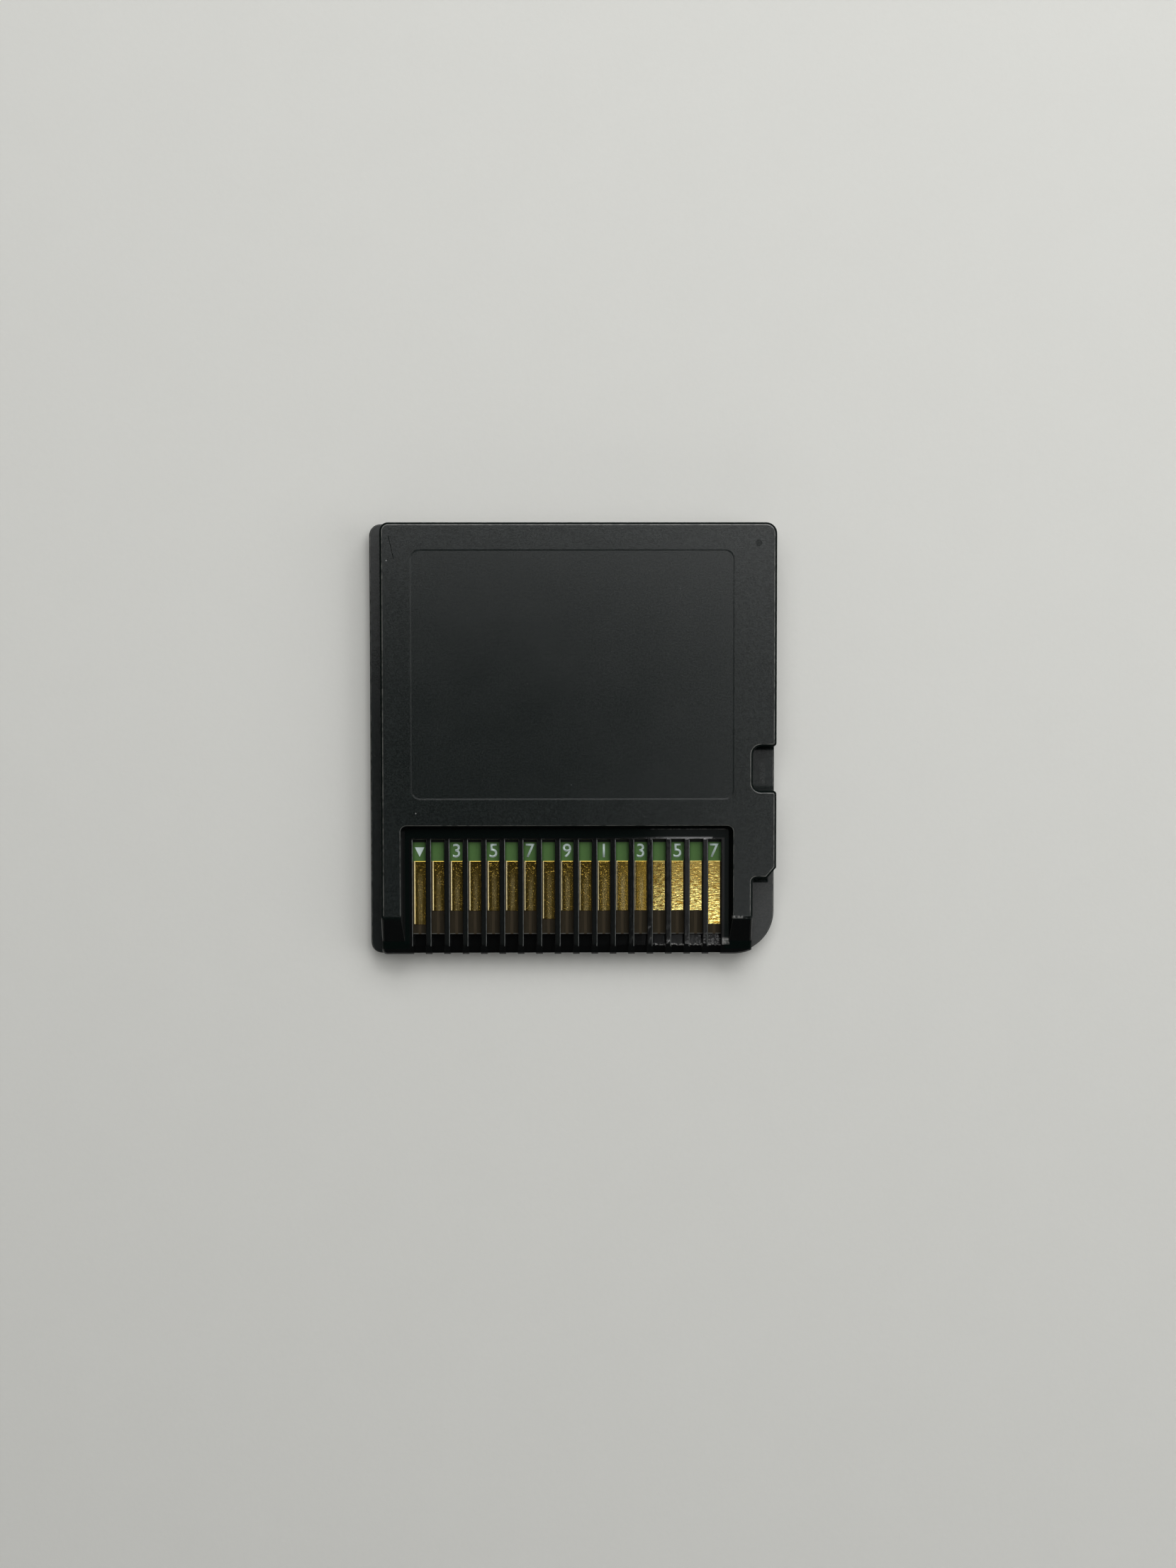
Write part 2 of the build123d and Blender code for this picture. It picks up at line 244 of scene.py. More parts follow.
# %% [markdown]
# ## Black plastic, matt outside and polished in the window
# The shell is moulded in one black plastic. The mould's outer faces were spark-eroded to a fine matt grain,
# which scatters the sky of the room into a grey veil. The window, its comb and the sloped nose were
# polished, so there the plastic looks deep black with sharp glints. Two materials would need a split along
# the edges of faces, so one material holds both, and the zone is found from the position: below the back
# face inside the window's outline, or beyond the slope's top.

# %% Where the shell is polished
window_half = 13.45 * mm
window_edge_y = nose_y + 10.56 * mm
slope_top_y = nose_y + 3.1 * mm


def polished_zone(x, y, z):
    """1 on the polished walls of the window, on the comb and on the sloped nose."""
    across = (x - row_x).maths("ABSOLUTE")
    beside_row = 1 - across.rises(window_half, window_half + 0.1 * mm)
    below_face = 1 - z.rises(back_top - 0.12 * mm, back_top - 0.02 * mm)
    before_edge = 1 - y.rises(window_edge_y - 0.05 * mm, window_edge_y + 0.05 * mm)
    before_slope = 1 - y.rises(slope_top_y - 0.25 * mm, slope_top_y + 0.15 * mm)
    window = beside_row * below_face * before_edge
    return window.maths("MAXIMUM", before_slope * z.rises(seam, seam + 0.2 * mm))


print("window edge in mm:", round(window_edge_y / mm, 2))

# %% Where the back face has its panel and its gate mark
panel_left = front_low.x + 3.43 * mm
panel_right = front_high.x - 3.43 * mm
panel_low_y = window_edge_y + 2.11 * mm
panel_high_y = back_high.y - 2.17 * mm
panel_depth = 0.08 * mm
panel_margin = 0.2 * mm
gate_mark = (front_high.x - 1.5 * mm, back_high.y - 1.67 * mm)
gate_radius = 0.24 * mm


def distance_from(x, y, middle):
    """Distance in plan from a point."""
    across = x - middle[0]
    along = y - middle[1]
    return (across * across + along * along).maths("SQRT")


def in_gate_mark(x, y):
    return 1 - distance_from(x, y, gate_mark).rises(gate_radius, gate_radius + 0.06 * mm)


def face_detail(x, y):
    """1 over the panel and over the gate mark, whose edges have no rim."""
    in_panel_x = x.within(panel_left - panel_margin, panel_right + panel_margin, 0.1 * mm)
    in_panel_y = y.within(panel_low_y - panel_margin, panel_high_y + panel_margin, 0.1 * mm)
    return (in_panel_x * in_panel_y).maths("MAXIMUM", in_gate_mark(x, y))


panel_edges = (panel_left, panel_right, panel_low_y, panel_high_y)
print("panel in mm:", [round(edge / mm, 2) for edge in panel_edges])

# %% [markdown]
# ## Wear, painted highlights and painted shade on the shell
# A card that has been carried and pushed in many times is worn: the slope's edge is rubbed pale, and there
# are specks and a scratch. The pale lines on the rims, the ribs, the sill and the ledge are painted
# highlights and glints, and the dull places on the steep rims, the ledge, the slope's foot, in the notch and
# at the shoulder's foot are painted shade. Wear could be painted by hand on an unwrapped mesh. Here each mark
# is a function of the position that gives 1 on the mark and 0 elsewhere, so it stays sharp at any distance
# and follows the CAD sizes.

# %% Levels and bands of the shell
ledge_top = board_top + 0.6 * mm
sill_top = seam + 0.3 * mm
slot_root_y = window_edge_y - 1.16 * mm
foot_y = nose_y + 0.65 * mm
slot_half = 0.525 * mm
comb_half = 12.75 * mm


def at_level(z, level, below=0.02 * mm):
    """1 on a flat face at one level."""
    return z.within(level - below, level + 0.02 * mm, 0.01 * mm)


def before_root(y, soft):
    """1 from the nose to the roots of the slots."""
    return 1 - y.rises(slot_root_y - soft, slot_root_y)


def beside_comb(x):
    """1 to the left and to the right of the comb."""
    return (x - row_x).maths("ABSOLUTE").rises(comb_half, comb_half + 0.1 * mm)


print("sill and ledge levels in mm:", round(sill_top / mm, 2), round(ledge_top / mm, 2))

# %% Rims: painted highlight and painted shade
rim_highlight_from = 0.001 * mm
rim_highlight_to = 0.012 * mm
steep_from = 0.016 * mm
back_rim_to = 0.3 * mm
front_rim_to = 0.1 * mm


def rim_band(z, top, start, stop, soft):
    """1 between two depths below the top of a rounded rim."""
    return z.within(top - stop, top - start, soft)


def painted_rim_highlight(x, y, z):
    """1 on the first hundredth of a millimetre of each shell's rounded rim, where a pale line is painted as a
    highlight.
    """
    behind_slope = y.rises(slope_top_y + 0.12 * mm, slope_top_y + 0.25 * mm)
    back_rim = rim_band(z, back_top, rim_highlight_from, rim_highlight_to, 0.001 * mm) * behind_slope
    front_rim = rim_band(z, seam, rim_highlight_from, rim_highlight_to, 0.001 * mm)
    return (back_rim + front_rim) * (1 - face_detail(x, y))


def painted_rim_shade(x, y, z):
    """1 on the steep part of each rim, where the gloss is taken out as painted shade."""
    back_rim = rim_band(z, back_top, steep_from, back_rim_to, 0.003 * mm)
    front_rim = rim_band(z, seam, steep_from, front_rim_to, 0.003 * mm)
    return (back_rim + front_rim) * (1 - face_detail(x, y))


# The painted rim highlight reaches this depth.
print("rims are rubbed to a depth of", round(rim_highlight_to / mm, 3), "mm")

# %% Painted highlights and sheen on the ribs
def painted_rib_highlight(x, y, z):
    """1 on the right-hand edge of each rib, where a grey line is painted as a highlight."""
    aside = offset_from_pad_middle(x)
    at_edge = aside.within(-slot_half - 0.075 * mm, -slot_half - 0.02 * mm, 0.012 * mm)
    upper = z.within(ledge_top - 0.07 * mm, ledge_top - 0.004 * mm, 0.004 * mm)
    in_row = x.within(contact_x(1) - 0.7 * mm, contact_x(contact_count), 0.01 * mm)
    return at_edge * upper * in_row * before_root(y, 0.1 * mm)


def painted_rib_sheen(x, y, z):
    """1 on top of the ribs, less so towards the right, where a lighter black is painted as sheen."""
    on_rib = distance_from_pad_middle(x).rises(slot_half + 0.05 * mm, slot_half + 0.08 * mm)
    upper = z.within(ledge_top - 0.03 * mm, ledge_top + 0.01 * mm, 0.01 * mm)
    in_row = x.within(contact_x(1), contact_x(contact_count), 0.01 * mm)
    towards_left = 1 - x.rises(0.0, 8.0 * mm)
    return on_rib * upper * in_row * before_root(y, 0.2 * mm) * towards_left


print("ribs between the slots:", contact_count - 1)

# %% Worn edge of the slope, and painted glints on the sill and the ledge
right_block = (13.0 * mm, 14.6 * mm)
sill_line_x = 6.2 * mm
last_sills = (9.4 * mm, 11.2 * mm)
ledge_patch = (12.2 * mm, 12.75 * mm)
wall_line = (6.6 * mm, 12.2 * mm)


def worn_edge(x, y, z):
    """1 along the top of the slope on the right-hand block."""
    line = y.within(slope_top_y - 0.03 * mm, slope_top_y + 0.14 * mm, 0.06 * mm)
    return line * x.within(*right_block, 0.2 * mm) * z.rises(back_top - 0.3 * mm, back_top - 0.2 * mm)


def scuffed_sill(x, y, z, speckle):
    """1 where glints are painted on the sill: a line along its front and the last sills at the right."""
    front_line = y.within(foot_y - 0.02 * mm, foot_y + 0.13 * mm, 0.02 * mm)
    front_line = front_line * x.rises(sill_line_x, sill_line_x + 0.4 * mm)
    right_end = x.rises(*last_sills) * y.within(foot_y, foot_y + 0.8 * mm, 0.05 * mm)
    spots = front_line * speckle.rises(0.5, 0.58) + 0.25 * right_end * speckle.rises(0.45, 0.7)
    return at_level(z, sill_top, 0.03 * mm) * spots


def scuffed_ledge(x, y, z, speckle):
    """1 on a painted reflection at the ledge's right end, and on a fainter painted glint along the foot of
    the window's wall.
    """
    patch = x.within(*ledge_patch, 0.05 * mm) * y.within(foot_y + 0.25 * mm, foot_y + 0.6 * mm, 0.2 * mm)
    foot_line = y.within(window_edge_y - 0.34 * mm, window_edge_y - 0.28 * mm, 0.02 * mm)
    foot_line = foot_line * x.within(*wall_line, 0.4 * mm) * speckle.rises(0.3, 0.6)
    return at_level(z, ledge_top, 0.03 * mm) * (patch * (0.3 + 0.7 * speckle) + 0.4 * foot_line)


# The painted glints on the sill start at this X.
print("scuffs on the sill start at", round(sill_line_x / mm, 1), "mm")

# %% A scratch and a few pale specks
pale_specks = [(-15.44 * mm, -4.56 * mm), (-12.65 * mm, -5.91 * mm), (-14.93 * mm, 14.44 * mm)]
scratch_point = (-14.77 * mm, 16.32 * mm)
scratch_slant = 0.2316
scratch_y = (14.55 * mm, 16.3 * mm)


def scratch_line(x, y):
    """1 on one slanting scratch near the top left corner."""
    line_x = scratch_point[0] - scratch_slant * (y - scratch_point[1])
    from_line = (x - line_x).maths("ABSOLUTE")
    return (1 - from_line.rises(0.02 * mm, 0.05 * mm)) * y.within(*scratch_y, 0.1 * mm)


def speck_dots(x, y, speckle, polished):
    """1 on each pale speck, and about a third on the finest specks of the matt faces."""
    dots = 0.35 * speckle.rises(0.8, 0.82) * (1 - polished)
    for middle in pale_specks:
        dots = dots.maths("MAXIMUM", 1 - distance_from(x, y, middle).rises(0.03 * mm, 0.07 * mm))
    return dots


print("pale specks:", len(pale_specks))

# %% Painted shade on the ledge, the slope's foot and the corners, and painted sheen on the steps
notch_left = front_high.x - 2.0 * mm
notch_low_y = nose_y + 13.39 * mm
notch_high_y = nose_y + 16.95 * mm
notch_sheen_x = (15.5 * mm, 15.6 * mm)
notch_sheen_y = (-3.4 * mm, -1.9 * mm)
shoulder_x = (14.85 * mm, 15.95 * mm)
shoulder_y = (-11.7 * mm, -11.1 * mm)


def painted_ledge_shade(x, y, z):
    """1 on the flat ledge round the comb, where the gloss is taken out as painted shade."""
    behind_root = y.rises(slot_root_y + 0.1 * mm, slot_root_y + 0.2 * mm)
    return at_level(z, ledge_top) * behind_root.maths("MAXIMUM", beside_comb(x))


def painted_slope_foot_shade(x, y):
    """1 along the foot of the slope beside the comb, where a highlight is taken out as painted shade."""
    return beside_comb(x) * y.within(nose_y + 0.5 * mm, nose_y + 1.1 * mm, 0.1 * mm)


def painted_notch_shade(x, y, z):
    """1 on the notch's floor along its two end walls, where shade is painted."""
    in_notch = x.rises(notch_left, notch_left + 0.1 * mm)
    inner_end = y.within(notch_high_y - 0.2 * mm, notch_high_y + 0.3 * mm, 0.3 * mm)
    outer_end = y.within(notch_low_y - 0.3 * mm, notch_low_y + 0.14 * mm, 0.25 * mm)
    return at_level(z, seam) * in_notch * (inner_end + 0.6 * outer_end)


def painted_shoulder_shade(x, y, z):
    """1 on the keyed corner's step along the foot of the shoulder, where shade is painted."""
    return at_level(z, seam) * x.within(*shoulder_x, 0.15 * mm) * y.within(*shoulder_y, 0.12 * mm)


def painted_step_sheen(x, y, z):
    """1 where a paler grey is painted as sheen: the keyed corner's step, less on the guide strip's inner end
    and on a band of the notch floor.
    """
    corner = x.rises(13.5 * mm, 14.5 * mm) * (1 - y.rises(-10.5 * mm, -9.5 * mm))
    guide = (1 - x.rises(-15.5 * mm, -15.0 * mm)) * y.rises(-2.0 * mm, 14.0 * mm)
    notch_sheen = x.within(*notch_sheen_x, 0.3 * mm) * y.within(*notch_sheen_y, 0.5 * mm)
    return at_level(z, seam) * (corner + 0.55 * guide + 0.35 * notch_sheen)


print("notch in mm:", round(notch_low_y / mm, 2), "to", round(notch_high_y / mm, 2))

# %% [markdown]
# ## The shell's finish
# The colour starts from the matt grain, and each mark is laid over it in turn as a thin tint; several marks
# are painted highlights, glints and sheen. Wear and the painted glints also roughen the plastic. The painted
# shade on the steep matt rims, the ledge, the slope's foot and the corners should reflect almost nothing, and
# a lower specular level can't vary over a surface here, so a second shader without any gloss is mixed in
# there.

# %% Colours of the shell, and what its sockets read
# Several of these colours are painted light: the greys of the rims and ribs are painted highlights, the grey
# of the steps and the black of the rib tops are painted sheen, and the white is real wear with painted
# glints.
dull_black = colour(0.0022, 0.0046, 0.004)
grain_black = colour(0.0012, 0.003, 0.0025)
grain_grey = colour(0.007, 0.0105, 0.0098)
polished_black = colour(0.003, 0.0033, 0.0033)
rim_highlight_grey = colour(0.1, 0.1, 0.092)
rib_highlight_grey = colour(0.1, 0.107, 0.104)
rib_sheen_black = colour(0.0065, 0.0075, 0.0072)
sheen_grey = colour(0.031, 0.033, 0.032)
wear_and_glint_white = colour(0.22, 0.22, 0.21)
scratch_black = colour(0.002, 0.002, 0.002)
smudge_size = 4.0 * mm
patch_size = 0.5 * mm
speckle_size = 0.16 * mm
mottle_size = 0.12 * mm
grain_size = 0.06 * mm


def shell_marks(wire):
    """The position, the noises and the masks that several sockets of the shell read."""
    place = card_place(wire)
    x, y, z = card_axes(wire, place)
    marks = SimpleNamespace(x=x, y=y, z=z)
    marks.smudge = grain(wire, place, smudge_size, 3.0)
    marks.patchy = grain(wire, place, patch_size, 3.0)
    marks.speckle = grain(wire, place, speckle_size, 1.0)
    marks.mottle = grain(wire, place, mottle_size, 2.0).rises(0.35, 0.65)
    marks.fine = grain(wire, place, grain_size, 2.0)
    marks.polished = polished_zone(x, y, z)
    marks.worn = worn_edge(x, y, z) * marks.patchy.rises(0.4, 0.6)
    marks.scuffed = scuffed_sill(x, y, z, marks.speckle) + scuffed_ledge(x, y, z, marks.speckle)
    marks.scratch = scratch_line(x, y)
    return marks


print("matt grain in mm:", round(grain_size / mm, 2))

# %% Colour and roughness of the shell
matt_roughness = 0.19
polished_roughness = 0.055


def shell_colour(marks):
    """The matt grain with each mark laid over it in turn: real polish, wear, specks and scratch, and painted
    sheen, highlights and glints.
    """
    x, y, z = marks.x, marks.y, marks.z
    broken = marks.patchy.rises(0.35, 0.6)
    specks = speck_dots(x, y, marks.speckle, marks.polished)
    # Painted sheen on the steps and rib tops, painted highlights on the rims and rib edges, and painted
    # glints laid with the real wear and specks.
    layers = [
        (painted_step_sheen(x, y, z), sheen_grey),
        (marks.polished, polished_black),
        (painted_rim_highlight(x, y, z) * (0.25 + 0.75 * broken), rim_highlight_grey),
        (painted_rib_sheen(x, y, z), rib_sheen_black),
        (painted_rib_highlight(x, y, z) * (0.6 + 0.4 * broken), rib_highlight_grey),
        ((marks.worn + marks.scuffed + specks).maths("MINIMUM", 1.0), wear_and_glint_white),
        (marks.scratch, scratch_black),
    ]
    black = marks.mottle.tint(grain_black, grain_grey)
    for mask, shade in layers:
        black = mask.tint(black, shade)
    return black


def shell_roughness(marks):
    """Rougher on the matt faces than on the polished ones, and roughest where it is worn and where glints are
    painted.
    """
    matt = matt_roughness + 0.06 * marks.smudge
    polished = polished_roughness + 0.03 * marks.smudge
    return matt + marks.polished * (polished - matt) + 0.3 * (marks.worn + marks.scuffed)


print("roughness, matt and polished:", matt_roughness, polished_roughness)

# %% Relief of the shell, and its dullness with painted shade
grain_depth = 0.004 * mm
lip_width = 0.24 * mm
lip_depth = 0.0113 * mm
lip_end_x = 11.2 * mm


def shell_height(marks):
    """The grain, the scratch and the low lip at the slot roots, in units of the grain's depth."""
    share = ((slot_root_y + lip_width - marks.y) / lip_width).maths("MAXIMUM", 0.0).maths("MINIMUM", 1.0)
    lip = share * marks.polished * marks.z.within(ledge_top - 0.1 * mm, ledge_top, 0.02 * mm)
    lip = lip * (0.75 + 0.5 * marks.patchy) * (1 - marks.x.rises(lip_end_x, lip_end_x + 0.7 * mm))
    return marks.fine * (1 - 0.98 * marks.polished) - 1.5 * marks.scratch - lip_depth / grain_depth * lip


def dullness_and_painted_shade(marks):
    """The share of the shader without gloss: painted shade on the steep rims, the ledge, the slope's foot and
    the corners, the gate mark's floor, the scratch, and the grain.
    """
    x, y, z = marks.x, marks.y, marks.z
    matt = 1 - marks.polished
    unscuffed = 1 - marks.scuffed
    gate_floor = in_gate_mark(x, y) * z.rises(seam, back_top)
    face = 0.8 * painted_rim_shade(x, y, z) * matt + 0.35 * gate_floor + 0.6 * marks.scratch
    window = (0.7 * painted_ledge_shade(x, y, z) + 0.8 * painted_slope_foot_shade(x, y) * marks.polished) * unscuffed
    corner_shade = 0.9 * painted_notch_shade(x, y, z) + 0.85 * painted_shoulder_shade(x, y, z)
    return face + window + corner_shade + 0.18 * (1 - marks.mottle) * matt


print("lip at the slot roots in mm:", round(lip_width / mm, 2))

# %% The shell's material
def shell_finish(name):
    finish, wire, shader = start_finish(name)
    marks = shell_marks(wire)
    normal = relief(wire, shell_height(marks), grain_depth, 1.0)
    sockets = {"Base Color": shell_colour(marks), "Roughness": shell_roughness(marks), "Normal": normal}
    dress(wire, shader, sockets)
    glossy = Wire(wire.tree, shader.outputs["BSDF"])
    without_gloss = {"Base Color": dull_black, "Specular IOR Level": 0.0}
    dull = wire.node("ShaderNodeBsdfPrincipled", None, without_gloss)
    # The shader without gloss is mixed in for the grain and the scratch, and as painted shade.
    both = wire.node("ShaderNodeMixShader", None, {0: dullness_and_painted_shade(marks), 1: glossy, 2: dull})
    wire.feed(wire.tree.nodes["Material Output"].inputs["Surface"], both)
    return finish


shell_black = shell_finish("shell_black")
print("finish made:", shell_black.name, "with", len(shell_black.node_tree.nodes), "nodes")

# %% [markdown]
# ## The two shells
# The CAD mesh is loose triangles. A merged copy with its flat triangles dissolved into whole faces takes
# clean shading, but Blender's plain smooth shading would bend the light on a flat face next to a rounding.
# So the normals are worked out here: a whole flat face keeps its own normal at every corner, and a strip of
# a rounding takes the flat face's normal where they meet, and the mean of its neighbours elsewhere. The low
# wall round the panel leans its normals towards the face, because the real one is blunt and shows as a soft
# line. The copy then stands for the CAD node.

# %% Tell flat faces from the strips of a rounding
seam_angle = math.radians(0.5)
bend_angle = math.radians(12)
corner_angle = math.radians(40)
strip_width = 0.1 * mm


def face_width(face):
    return face.calc_area() / max(edge.calc_length() for edge in face.edges)


def is_flat(face):
    """True for a whole flat face: broad, and broader than every face that it bends into."""
    width = face_width(face)
    if width < strip_width:
        return False
    for edge in face.edges:
        if seam_angle < edge.calc_face_angle() < bend_angle:
            if max(face_width(other) for other in edge.link_faces if other is not face) > 0.5 * width:
                return False
    return True


print("strips are narrower than", round(strip_width / mm, 2), "mm")

# %% Choose the normal of each corner
wall_lean = Vector((0.0, 0.0, 5.0))
wall_slack = 0.001 * mm
wall_reach = 0.01 * mm


def is_panel_wall(face):
    """True for the low wall round the panel."""
    middle = face.calc_center_median()
    if not back_top - panel_depth + wall_slack < middle.z < back_top - wall_slack:
        return False
    in_panel_x = panel_left - wall_reach < middle.x < panel_right + wall_reach
    return in_panel_x and panel_low_y < middle.y < panel_high_y


def corner_normal(loop, flat_faces):
    """The normal that one corner of a face shades with."""
    own = loop.face.normal
    if is_panel_wall(loop.face):
        return (own + wall_lean).normalized()
    if loop.face in flat_faces:
        return own
    near = [face for face in loop.vert.link_faces if face.normal.angle(own) < corner_angle]
    flat_near = [face for face in near if face in flat_faces]
    if flat_near:
        return min(flat_near, key=lambda face: face.normal.angle(own)).normal
    return sum((face.normal * face.calc_area() for face in near), Vector()).normalized()


print("the panel's wall leans its normals up by", wall_lean.z)

# %% Copy, merge and shade a shell
merge_distance = 0.0001 * mm


def moulded_copy(node_name, piece_name, finish):
    """A merged copy of a CAD node with clean normals, which replaces the node."""
    mesh = bpy.data.meshes.new(piece_name)
    build = bmesh.new()
    build.from_mesh(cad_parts[node_name].data)
    bmesh.ops.remove_doubles(build, verts=build.verts, dist=merge_distance)
    bmesh.ops.dissolve_limit(build, angle_limit=seam_angle, verts=build.verts, edges=build.edges)
    build.normal_update()
    for face in build.faces:
        face.smooth = True
    flat_faces = {face for face in build.faces if is_flat(face)}
    normals = [corner_normal(loop, flat_faces) for face in build.faces for loop in face.loops]
    build.to_mesh(mesh)
    build.free()
    mesh.normals_split_custom_set(normals)
    mesh.materials.append(finish)
    piece = bpy.data.objects.new(piece_name, mesh)
    bpy.context.scene.collection.objects.link(piece)
    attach(piece, "root")
    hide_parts(node_name)
    print(piece_name, "faces:", len(mesh.polygons), "of them flat:", len(flat_faces))
    return piece


back_cover = moulded_copy("back_shell", "back_cover", shell_black)
front_tray = moulded_copy("front_shell", "front_tray", shell_black)

# %% [markdown]
# ## Green mask and bare laminate
# The board is glass-fibre laminate. A green solder mask covers it up to the ends of the pads, and beyond
# them the laminate is bare and brown, with the ends of thin plating leads in the middle of each slot. Just
# before the slot roots a dark band is painted on the board as the shade under the ledge. The zones and the
# leads follow the contact row, so their pattern is worked out from X and Y.

# %% The board's finish
mask_green = colour(0.05, 0.11, 0.032)
trace_green = colour(0.07, 0.145, 0.043)
laminate_brown = colour(0.0125, 0.0097, 0.0045)
lead_brown = colour(0.045, 0.034, 0.02)
sawn_grey = colour(0.075, 0.074, 0.066)
root_shade_black = colour(0.004, 0.005, 0.004)
lead_half = 0.09 * mm
trace_half = 0.38 * mm
sawn_width = 0.06 * mm
root_shade_width = 0.29 * mm
mask_depth = 0.01 * mm


def board_finish(name):
    finish, wire, shader = start_finish(name)
    place = card_place(wire)
    x, y, _ = card_axes(wire, place)
    masked = y.rises(pad_end_y - 0.02 * mm, pad_end_y + 0.02 * mm)
    weave = grain(wire, place, 0.25 * mm, 3.0)
    fibres = grain(wire, place, 0.08 * mm, 2.0, stretch=(1.0, 0.06, 1.0))
    from_middle = distance_from_pad_middle(x)
    lead = 1 - from_middle.rises(lead_half, lead_half + 0.05 * mm)
    trace = 1 - from_middle.rises(trace_half, trace_half + 0.06 * mm)
    sawn = 1 - y.rises(board_low.y + sawn_width, board_low.y + sawn_width + 0.03 * mm)
    # A dark band before the slot roots is painted shade under the ledge.
    painted_root_shade = y.rises(slot_root_y - root_shade_width, slot_root_y - root_shade_width + 0.07 * mm)
    green = (trace * (0.55 + 0.45 * weave)).tint(mask_green, trace_green)
    brown = (0.45 * lead + 0.55 * fibres).tint(laminate_brown, lead_brown)
    brown = (sawn * (1 - lead)).tint(brown, sawn_grey)
    base = painted_root_shade.tint(masked.tint(brown, green), root_shade_black)
    roughness = 0.6 - 0.28 * masked + 0.1 * weave
    height = fibres * (1 - masked) + masked * (0.7 * trace + 0.3 * weave)
    normal = relief(wire, height, mask_depth, 0.5)
    dress(wire, shader, {"Base Color": base, "Roughness": roughness, "Normal": normal})
    dress(wire, shader, {"Specular IOR Level": 0.12})
    return finish


board_green = board_finish("board_green")
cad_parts["circuit_board"].data.materials[0] = board_green
print("finish made:", board_green.name)

# %% [markdown]
# ## Gold plating with wipe marks
# The pads are copper with nickel and a thin layer of gold. The console's springs have left a dull film down
# the middle of each pad, and the plating carries fine cross scratches, pits, dots and flecks. The left edge
# of a pad is an etched flank, tinted pale as a painted highlight. The pad before the last four is mottled,
# and the last four are scrubbed crosswise, with bright streaks painted as glints that grow brighter towards
# the foot. Gold is a metal, so its colour is in the reflection: most of the pattern is in the bump, and the
# dull film is a slightly lower Metallic.

# %% Colours of the gold, and its zones along the row
bright_gold = colour(0.88, 0.6, 0.12)
worn_gold = colour(0.78, 0.62, 0.27)
flank_highlight_gold = colour(0.95, 0.8, 0.45)
glint_gold = colour(1.0, 0.84, 0.3)
dull_gold = colour(0.46, 0.26, 0.03)
first_scrubbed = 14
past_pad = pad_width / 2 + 0.05 * mm
wipe_half = 0.17 * mm
wipe_shift = 0.06 * mm


def from_contact(x, number):
    """1 from one contact on to the right, rising in the gap before it."""
    return x.rises(contact_x(number - 1) + past_pad, contact_x(number) - past_pad)


def wipe_mark(aside, y):
    """1 down the line where a spring wipes each pad, a little right of its middle."""
    from_line = (aside - wipe_shift).maths("ABSOLUTE")
    on_line = 1 - from_line.rises(0.5 * wipe_half, 1.6 * wipe_half)
    return on_line * (1 - y.rises(pad_end_y - 1.9 * mm, pad_end_y - 0.4 * mm))


def gold_marks(wire):
    """The position, the zones and the noises that several sockets of the gold read."""
    place = card_place(wire)
    x, y, _ = card_axes(wire, place)
    marks = SimpleNamespace(place=place, x=x, y=y, aside=offset_from_pad_middle(x))
    marks.patches = grain(wire, place, 0.3 * mm, 3.0)
    marks.scrubbed = from_contact(x, first_scrubbed)
    marks.mottled = from_contact(x, first_scrubbed - 1) * (1 - marks.scrubbed)
    streaks = grain(wire, place, 0.06 * mm, 2.0, stretch=(1.0, 0.05, 1.0))
    uneven = 0.3 + 0.2 * marks.patches.rises(0.25, 0.6) + 0.6 * streaks.rises(0.35, 0.6)
    marks.wiped = wipe_mark(marks.aside, y) * uneven * (1 - 0.8 * marks.scrubbed)
    return marks


print("scrubbed pads:", contact_count - first_scrubbed + 1)

# %% Colour of the gold
def scrubbed_gold_with_glints(wire, place, y):
    """Gold with short cross scratches whose bright streaks are painted glints, growing denser and brighter
    towards the foot of the pad.
    """
    scrubs = grain(wire, place, 0.09 * mm, 3.0, stretch=(0.22, 1.0, 1.0))
    towards_foot = 1 - y.rises(pad_end_y - 3.4 * mm, pad_end_y - 0.6 * mm)
    # The painted glints brighten and gain contrast towards the foot.
    gleam = (scrubs - 0.5) * (1.6 + 4.4 * towards_foot) + 0.38 + 0.3 * towards_foot
    return gleam.tint(dull_gold, glint_gold)


def gold_colour(wire, marks):
    """Gold, duller down the wipe mark, painted pale as a highlight on the flank, mottled on one pad and
    scrubbed with painted glints on four.
    """
    flank = 1 - marks.aside.rises(-0.4 * pad_width, -0.36 * pad_width)
    mottle = grain(wire, marks.place, 0.1 * mm, 2.0).rises(0.4, 0.6)
    gold = (0.8 * marks.wiped).tint(bright_gold, worn_gold)
    gold = flank.tint(gold, flank_highlight_gold)
    gold = (0.5 * marks.mottled * mottle).tint(gold, dull_gold)
    return marks.scrubbed.tint(gold, scrubbed_gold_with_glints(wire, marks.place, marks.y))


print("mottled pad:", first_scrubbed - 1)

# %% Relief of the gold, and its material
scratch_stretch = (0.2, 1.0, 1.0)
gold_depth = 0.001 * mm


